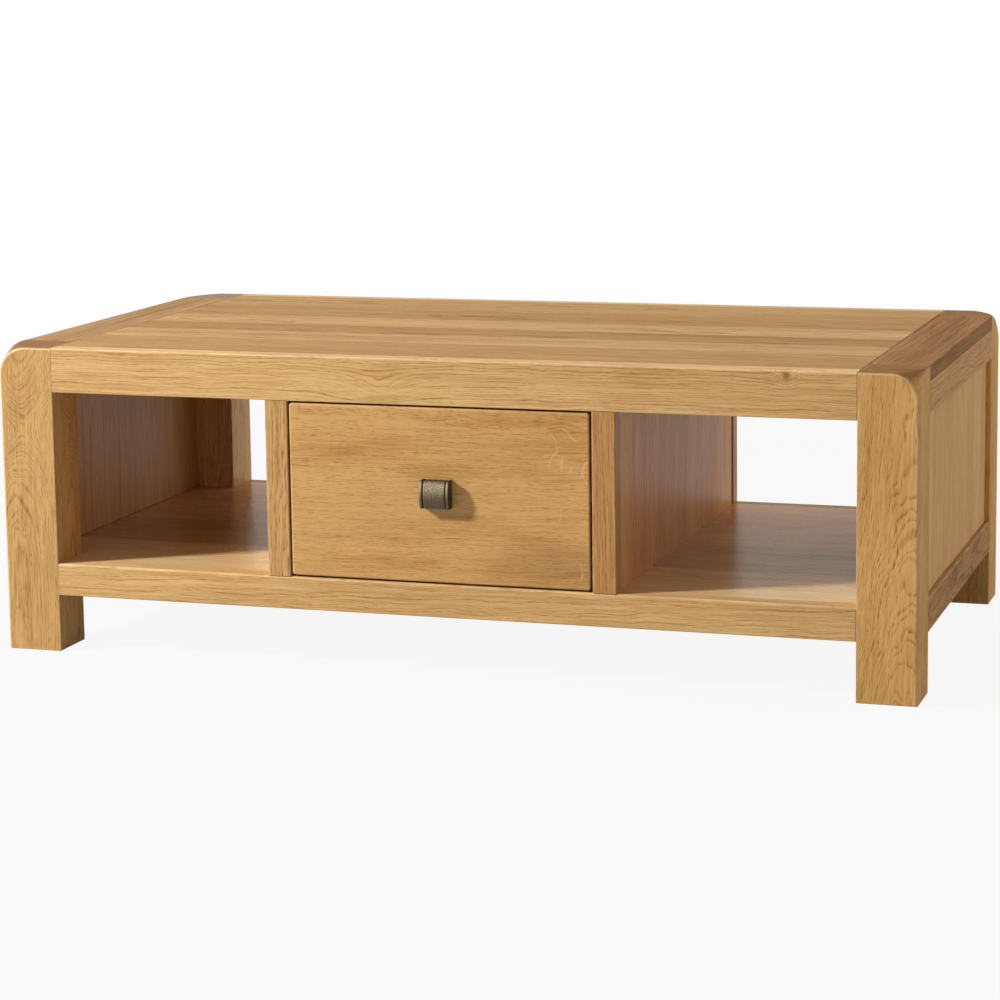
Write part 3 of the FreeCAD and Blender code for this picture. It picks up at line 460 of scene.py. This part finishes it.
# Dividers: a narrow oak stile at each face, stub-tenoned between the rails, and a panel of upright oak
# between the stiles, housed in the shelf.
STILES = {"left": {"pale": tint(215, 170, 108), "deep": tint(183, 134, 75)},
          "right": {"pale": tint(206, 154, 92), "deep": tint(174, 120, 64)}}
DIVIDER_PALE, DIVIDER_DEEP = tint(242, 188, 124), tint(216, 154, 94)
for side, way in (("left", -1), ("right", 1)):
    for face, depth in (("front", -1), ("rear", 1)):
        name = f"divider_stile_{face}_{side}"
        low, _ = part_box(name)
        oak(name, heart=(low.x - 0.05 * way, depth * 0.24, 0.2), run=(0.008 * depth, 0.01, 1.0),
            **STILES[side], ring=0.0019, pores=0.85)
    oak(f"divider_panel_{side}", heart=(way * 0.3, way * 0.5, 0.2), run=(0.01, 0.01, 1.0),
        pale=DIVIDER_PALE, deep=DIVIDER_DEEP, ring=0.005, contrast=0.5, mottle=1.6, pores=0.6,
        shine=0.06, dull=0.36, sheen=0.12)


# Drawer runners: hardwood battens screwed to the dividers, and the stop batten that both drawers close
# against. The screws are plain countersunk steel.
for side, way in (("left", -1), ("right", 1)):
    for face, depth in (("front", -1), ("rear", 1)):
        oak(f"drawer_runner_{face}_{side}", heart=(way * 0.16, depth * 0.1, 0.19),
            run=(0.01, 1.0, 0.01), **BATTEN)
oak("drawer_stop", heart=(0.0, 0.06, 0.08), run=(1.0, 0.01, 0.01), **BATTEN)
STEEL_BRIGHT, STEEL_DULL = tint(190, 188, 182), tint(150, 148, 142)
METAL_RELIEF = 0.0002


def steel(label):
    """Plain steel with fine wear: bright rubbed spots over a duller skin."""
    grain_cycles = (900.0, 900.0, 900.0)
    relief_strength = 0.4
    material, tree, sockets = new_material(label)
    sockets["Metallic"].default_value = 1.0
    grain = clouds(tree, vectors(tree, "MULTIPLY", object_place(tree), grain_cycles), detail=3.0)
    bright_share = step_up(tree, grain, low=0.4, high=0.62)
    tree.links.new(blend(tree, bright_share, STEEL_DULL, STEEL_BRIGHT), sockets["Base Color"])
    tree.links.new(step_up(tree, grain, low=0.3, high=0.7, start=0.42, end=0.3), sockets["Roughness"])
    relief = wire(tree, "ShaderNodeBump", relief_strength, METAL_RELIEF, None, grain)
    tree.links.new(relief, sockets["Normal"])
    return material


dress("runner_screws", steel("screw_steel"))


# Drawers: a solid oak face with eased edges on a dovetailed box of thinner, paler boards, with a flat
# base in grooves. One drawer opens to the front and one to the rear.
FACE_PALE, FACE_DEEP = tint(217, 168, 102), tint(188, 133, 70)
LINING = {"pale": tint(224, 192, 142), "deep": tint(204, 166, 114)}
for side, way in (("front", -1), ("rear", 1)):
    # the rings of the face run nearly flat, and the face is a little darker low at its right
    oak(f"{side}_drawer_face", heart=(1.2, way * 0.27, 0.38), run=(1.0, 0.02 * way, 0.03),
        pale=FACE_PALE, deep=FACE_DEEP, ring=0.0023, contrast=0.22, mottle=3.0, patch_run=4.5,
        pores=0.58, rows=0.2, flecks=0.45,
        branches=[branch(centre=(0.14, way * 0.325, 0.15), reach=(0.075, 0.05, 0.03), bend=0.0, core=1.0,
                         darkness=0.3)])
    for hand, reach in (("left", -1), ("right", 1)):
        oak(f"{side}_drawer_side_{hand}", heart=(reach * 0.12, way * 0.1, 0.19), run=(0.01, 1.0, 0.02),
            **LINING, pores=0.25)
    oak(f"{side}_drawer_back", heart=(0.1, way * 0.08, 0.21), run=(1.0, 0.01, 0.02), **LINING, pores=0.25)
    oak(f"{side}_drawer_base", heart=(0.1, way * 0.15, 0.06), run=(0.01, 1.0, 0.02), **LINING, pores=0.2)


# Knobs: cast half-barrels with an aged pewter finish. Dark patina stays in the two grooves and in the
# pits of the hammered band, and a machine screw through the drawer face holds each one.
KNOB_BEND = 0.042
BAND_INSET = 0.0005
BEAD_WIDTH = 0.0032
GROOVE_WIDTH = 0.002
GROOVE_SOFTNESS = 0.0004
PIT_SIZE = 0.0016
PIT_DEPTH = 0.0003
BAND_RIM = 0.0008
PEWTER_PAINTED_LIT, PEWTER_PAINTED_SHADE, PATINA_AND_PAINTED_SHADE = tint(173, 154, 117), tint(97, 78, 49), tint(38, 24, 12)
knob_low, knob_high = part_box("front_drawer_knob")
knob_tall = knob_high.z - knob_low.z
GROOVE_END = knob_high.x - BEAD_WIDTH
GROOVE_START = GROOVE_END - GROOVE_WIDTH


def pewter(label, pitted):
    """Aged pewter: patina in the band's pits and the casting's grooves, patina and painted shade on faces
    turned from the front, and painted light on the upper half.
    """
    grain_cycles = (1400.0, 1400.0, 1400.0)
    relief_strength = 0.3
    bare_metal = 0.15
    pit_patina = 0.5
    patina_dullness = 0.3
    material, tree, sockets = new_material(label)
    sockets["Metallic"].default_value = bare_metal
    place = object_place(tree)
    grain = clouds(tree, vectors(tree, "MULTIPLY", place, grain_cycles), detail=3.0)
    across, _, level = wire(tree, "ShaderNodeSeparateXYZ", place).node.outputs

    def up(share):
        return knob_low.z + share * knob_tall

    # painted light: the upper half is painted bright as if lit from above, with painted shade below it and
    # again just below the top edge
    painted_light_from_above = reckon(tree, "MULTIPLY", step_up(tree, level, up(0.3), up(0.78)),
                     step_up(tree, level, up(0.88), up(0.98), start=1.0, end=0.0))
    if pitted:
        pit = wire(tree, "ShaderNodeAttribute", pick=2, attribute_name="pit")
        overlay = reckon(tree, "MULTIPLY", pit, pit_patina)
    else:
        across = reckon(tree, "ABSOLUTE", across)
        into = step_up(tree, across, GROOVE_START - GROOVE_SOFTNESS, GROOVE_START + GROOVE_SOFTNESS)
        out_of = step_up(tree, across, GROOVE_END - GROOVE_SOFTNESS, GROOVE_END + GROOVE_SOFTNESS,
                         start=1.0, end=0.0)
        # faces that turn away from the front get patina and painted shade
        outward = wire(tree, "ShaderNodeNewGeometry", pick=1)
        _, facing, _ = wire(tree, "ShaderNodeSeparateXYZ", outward).node.outputs
        shade_and_patina_off_front = step_up(tree, reckon(tree, "ABSOLUTE", facing), low=0.45, high=0.8, start=0.9, end=0.0)
        overlay = reckon(tree, "MAXIMUM", reckon(tree, "MULTIPLY", into, out_of), shade_and_patina_off_front)
    bright_share = reckon(tree, "MULTIPLY", painted_light_from_above, step_up(tree, grain, low=0.2, high=0.6, start=0.4, end=1.0))
    skin = blend(tree, bright_share, PEWTER_PAINTED_SHADE, PEWTER_PAINTED_LIT)
    tree.links.new(blend(tree, overlay, skin, PATINA_AND_PAINTED_SHADE), sockets["Base Color"])
    dullness = step_up(tree, grain, low=0.3, high=0.7, start=0.42, end=0.28)
    tree.links.new(reckon(tree, "MULTIPLY_ADD", overlay, patina_dullness, dullness), sockets["Roughness"])
    relief = wire(tree, "ShaderNodeBump", relief_strength, METAL_RELIEF, None, grain)
    tree.links.new(relief, sockets["Normal"])
    return material


def pitted_band_group():
    """The hammered skin of the band: a bent grid, pressed in by irregular pits and tucked in at its rim."""
    tree = bpy.data.node_groups.new("pitted_band", "GeometryNodeTree")
    for label, kind in (("Width", "Float"), ("Bend Radius", "Float"), ("Half Angle", "Float"),
                        ("Axis", "Vector"), ("Turn", "Vector"), ("Pit Size", "Float"),
                        ("Pit Depth", "Float"), ("Rim", "Float"), ("Metal", "Material")):
        tree.interface.new_socket(label, in_out="INPUT", socket_type=f"NodeSocket{kind}")
    tree.interface.new_socket("Geometry", in_out="OUTPUT", socket_type="NodeSocketGeometry")
    given = tree.nodes.new("NodeGroupInput").outputs

    # the sheet is first a flat grid: its width in metres one way, the angle round the bend the other
    grid_columns, grid_rows = 110, 150
    angle_span = reckon(tree, "MULTIPLY", given["Half Angle"], 2.0)
    grid = wire(tree, "GeometryNodeMeshGrid", given["Width"], angle_span, grid_columns, grid_rows)
    x, angle, _ = wire(tree, "ShaderNodeSeparateXYZ", wire(tree, "GeometryNodeInputPosition")).node.outputs
    arc = reckon(tree, "MULTIPLY", angle, given["Bend Radius"])

    # the ground between the pits stands a little proud, and the rim sinks into the casting
    pit_layer = 3.0
    proud = 1.1
    sink = -1.2
    pit_place = wire(tree, "ShaderNodeCombineXYZ", reckon(tree, "DIVIDE", x, given["Pit Size"]),
                     reckon(tree, "DIVIDE", arc, given["Pit Size"]), pit_layer)
    pit = step_up(tree, clouds(tree, pit_place, detail=1.0), low=0.42, high=0.6)
    half_width = reckon(tree, "MULTIPLY", given["Width"], 0.5)
    half_arc = reckon(tree, "MULTIPLY", given["Half Angle"], given["Bend Radius"])
    to_end = reckon(tree, "SUBTRACT", half_width, reckon(tree, "ABSOLUTE", x))
    to_side = reckon(tree, "SUBTRACT", half_arc, reckon(tree, "ABSOLUTE", arc))
    inside = reckon(tree, "MINIMUM", to_end, to_side)
    rim_depth = reckon(tree, "MULTIPLY", given["Rim"], sink)
    tucked = wire(tree, "ShaderNodeMapRange", inside, 0.0, given["Rim"], rim_depth, 0.0)
    lift = reckon(tree, "MULTIPLY_ADD", reckon(tree, "SUBTRACT", proud, pit), given["Pit Depth"], tucked)
    radius = reckon(tree, "ADD", given["Bend Radius"], lift)

    # bent round the knob's axis it faces the front, and a half turn makes it the rear knob's
    forward = reckon(tree, "MULTIPLY", reckon(tree, "COSINE", angle), reckon(tree, "MULTIPLY", radius, -1.0))
    upward = reckon(tree, "MULTIPLY", reckon(tree, "SINE", angle), radius)
    bent = wire(tree, "ShaderNodeCombineXYZ", x, forward, upward)
    marked = wire(tree, "GeometryNodeStoreNamedAttribute", grid, None, "pit", pit,
                  data_type="FLOAT", domain="POINT")
    shaped = wire(tree, "GeometryNodeSetPosition", marked, None, vectors(tree, "ADD", bent, given["Axis"]))
    turned = wire(tree, "GeometryNodeTransform", shaped, None, given["Turn"])
    smooth = wire(tree, "GeometryNodeSetShadeSmooth", turned)
    whole = wire(tree, "GeometryNodeRealizeInstances", smooth)
    clad = wire(tree, "GeometryNodeSetMaterial", whole, None, given["Metal"])
    tree.links.new(clad, tree.nodes.new("NodeGroupOutput").inputs["Geometry"])
    return tree


def grown(name, tree, values):
    """Run a geometry group once with the given inputs and keep the outcome as a plain mesh."""
    seedling = bpy.data.objects.new(f"{name}_source", bpy.data.meshes.new(f"{name}_source"))
    bpy.context.scene.collection.objects.link(seedling)
    growth = seedling.modifiers.new("growth", "NODES")
    growth.node_group = tree
    for item in tree.interface.items_tree:
        if item.in_out == "INPUT":
            growth[item.identifier] = values[item.name]
    evaluated = seedling.evaluated_get(bpy.context.evaluated_depsgraph_get())
    mesh = bpy.data.meshes.new_from_object(evaluated)
    mesh.name = name
    mesh.materials.clear()
    mesh.materials.append(values["Metal"])
    bpy.data.objects.remove(seedling)
    made = bpy.data.objects.new(name, mesh)
    bpy.context.scene.collection.objects.link(made)
    return made


pitted_band = pitted_band_group()
cast_pewter = pewter("cast_pewter", pitted=False)
band_bend = KNOB_BEND - BAND_INSET
band_half = knob_tall / 2 - BAND_INSET
band = {"Width": 2 * GROOVE_START, "Bend Radius": band_bend, "Half Angle": math.asin(band_half / band_bend),
        "Axis": (0.0, knob_low.y + KNOB_BEND, (knob_low.z + knob_high.z) / 2),
        "Pit Size": PIT_SIZE, "Pit Depth": PIT_DEPTH, "Rim": BAND_RIM,
        "Metal": pewter("pitted_pewter", pitted=True)}
for side, turn in (("front", 0.0), ("rear", math.pi)):
    dress(f"{side}_drawer_knob", cast_pewter)
    skin = grown(f"{side}_knob_band", pitted_band, {**band, "Turn": (0.0, 0.0, turn)})
    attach(skin, f"{side}_drawer")
    dress(f"{side}_drawer_knob_bolt", steel(f"bolt_steel_{side}"))


# Studio: a plain white floor and surround that keep a faint shadow of the table. A hard key lamp stands at
# the left in front, and weak soft ones overhead, at the right end and behind lift the shadows.
WHITE = (1.0, 1.0, 1.0, 1.0)
FLOOR_GREY = (0.45, 0.45, 0.45, 1.0)
FLOOR_HALF = 12.0
NEAR_GLOW = 0.91
SHADOW_REACH = 1.5
BACKDROP_REACH = 3.2
FILL = 0.33


def seen_directly(tree):
    """One for rays that show the studio to the camera, straight or in a reflection, and none for light."""
    path = tree.nodes.new("ShaderNodeLightPath").outputs
    mirrored = reckon(tree, "MAXIMUM", path["Is Glossy Ray"], path["Is Transmission Ray"])
    return reckon(tree, "MAXIMUM", path["Is Camera Ray"], mirrored)


floor_corners = [(x * FLOOR_HALF, y * FLOOR_HALF, 0) for x, y in ((-1, -1), (1, -1), (1, 1), (-1, 1))]
floor_mesh = bpy.data.meshes.new("studio_floor")
floor_mesh.from_pydata(floor_corners, [], [(0, 1, 2, 3)])
floor = bpy.data.objects.new("studio_floor", floor_mesh)
bpy.context.scene.collection.objects.link(floor)
paint = bpy.data.materials.new("floor_paint")
paint.use_nodes = True
tree = paint.node_tree
tree.nodes.clear()
matt = wire(tree, "ShaderNodeBsdfDiffuse", FLOOR_GREY)
glow = wire(tree, "ShaderNodeEmission", WHITE, 1.0)
from_middle = vectors(tree, "LENGTH", object_place(tree), pick=1)
backdrop_share = step_up(tree, from_middle, SHADOW_REACH, BACKDROP_REACH, start=NEAR_GLOW, end=1.0)
glow_share = reckon(tree, "MULTIPLY", seen_directly(tree), backdrop_share)
surface = wire(tree, "ShaderNodeMixShader", glow_share, matt, glow)
tree.links.new(surface, tree.nodes.new("ShaderNodeOutputMaterial").inputs["Surface"])
floor_mesh.materials.append(paint)

world = bpy.data.worlds.new("studio")
bpy.context.scene.world = world
world.use_nodes = True
tree = world.node_tree
tree.nodes.clear()
fill = wire(tree, "ShaderNodeBackground", WHITE, FILL)
backdrop = wire(tree, "ShaderNodeBackground", WHITE, 1.0)
sky = wire(tree, "ShaderNodeMixShader", seen_directly(tree), fill, backdrop)
tree.links.new(sky, tree.nodes.new("ShaderNodeOutputWorld").inputs["Surface"])


def lamp(name, place, aim, side, watts, colour=(1.0, 1.0, 1.0)):
    """A square lamp panel of the given side at a place, turned to shine at its aim."""
    light = bpy.data.lights.new(name, "AREA")
    light.color = colour
    light.shape = "SQUARE"
    light.size = side
    light.energy = watts
    made = bpy.data.objects.new(name, light)
    bpy.context.scene.collection.objects.link(made)
    made.location = place
    made.rotation_euler = (Vector(aim) - Vector(place)).to_track_quat("-Z", "Y").to_euler()


WARM = (1.0, 0.8, 0.6)
lamp("key_lamp", place=(-3.68, -2.25, 2.68), aim=(0.0, -0.2, 0.25), side=0.42, watts=274.0)
lamp("top_lamp", place=(0.2, 0.6, 2.6), aim=(0.0, 0.0, 0.4), side=2.0, watts=6.0)
lamp("side_lamp", place=(2.5, 0.6, 1.1), aim=(0.6, 0.0, 0.25), side=1.0, watts=7.5)
lamp("rear_lamp", place=(1.5, 2.6, 1.0), aim=(0.0, 0.0, 0.2), side=1.0, watts=7.0, colour=WARM)

# the camera stands where it stood for the photo, worked out from the corners of the table
LENS = 102.42
CAMERA_PLACE = (1.1457, -3.6065, 0.8611)
CAMERA_TURN = (81.61, 0.746, 17.833)
FRAME_SHIFT = -0.1
view = bpy.data.cameras.new("photo_view")
view.lens = LENS
view.shift_y = FRAME_SHIFT
camera = bpy.data.objects.new("photo_view", view)
bpy.context.scene.collection.objects.link(camera)
camera.location = CAMERA_PLACE
camera.rotation_euler = [math.radians(angle) for angle in CAMERA_TURN]
bpy.context.scene.camera = camera
bpy.context.scene.view_settings.view_transform = "Standard"
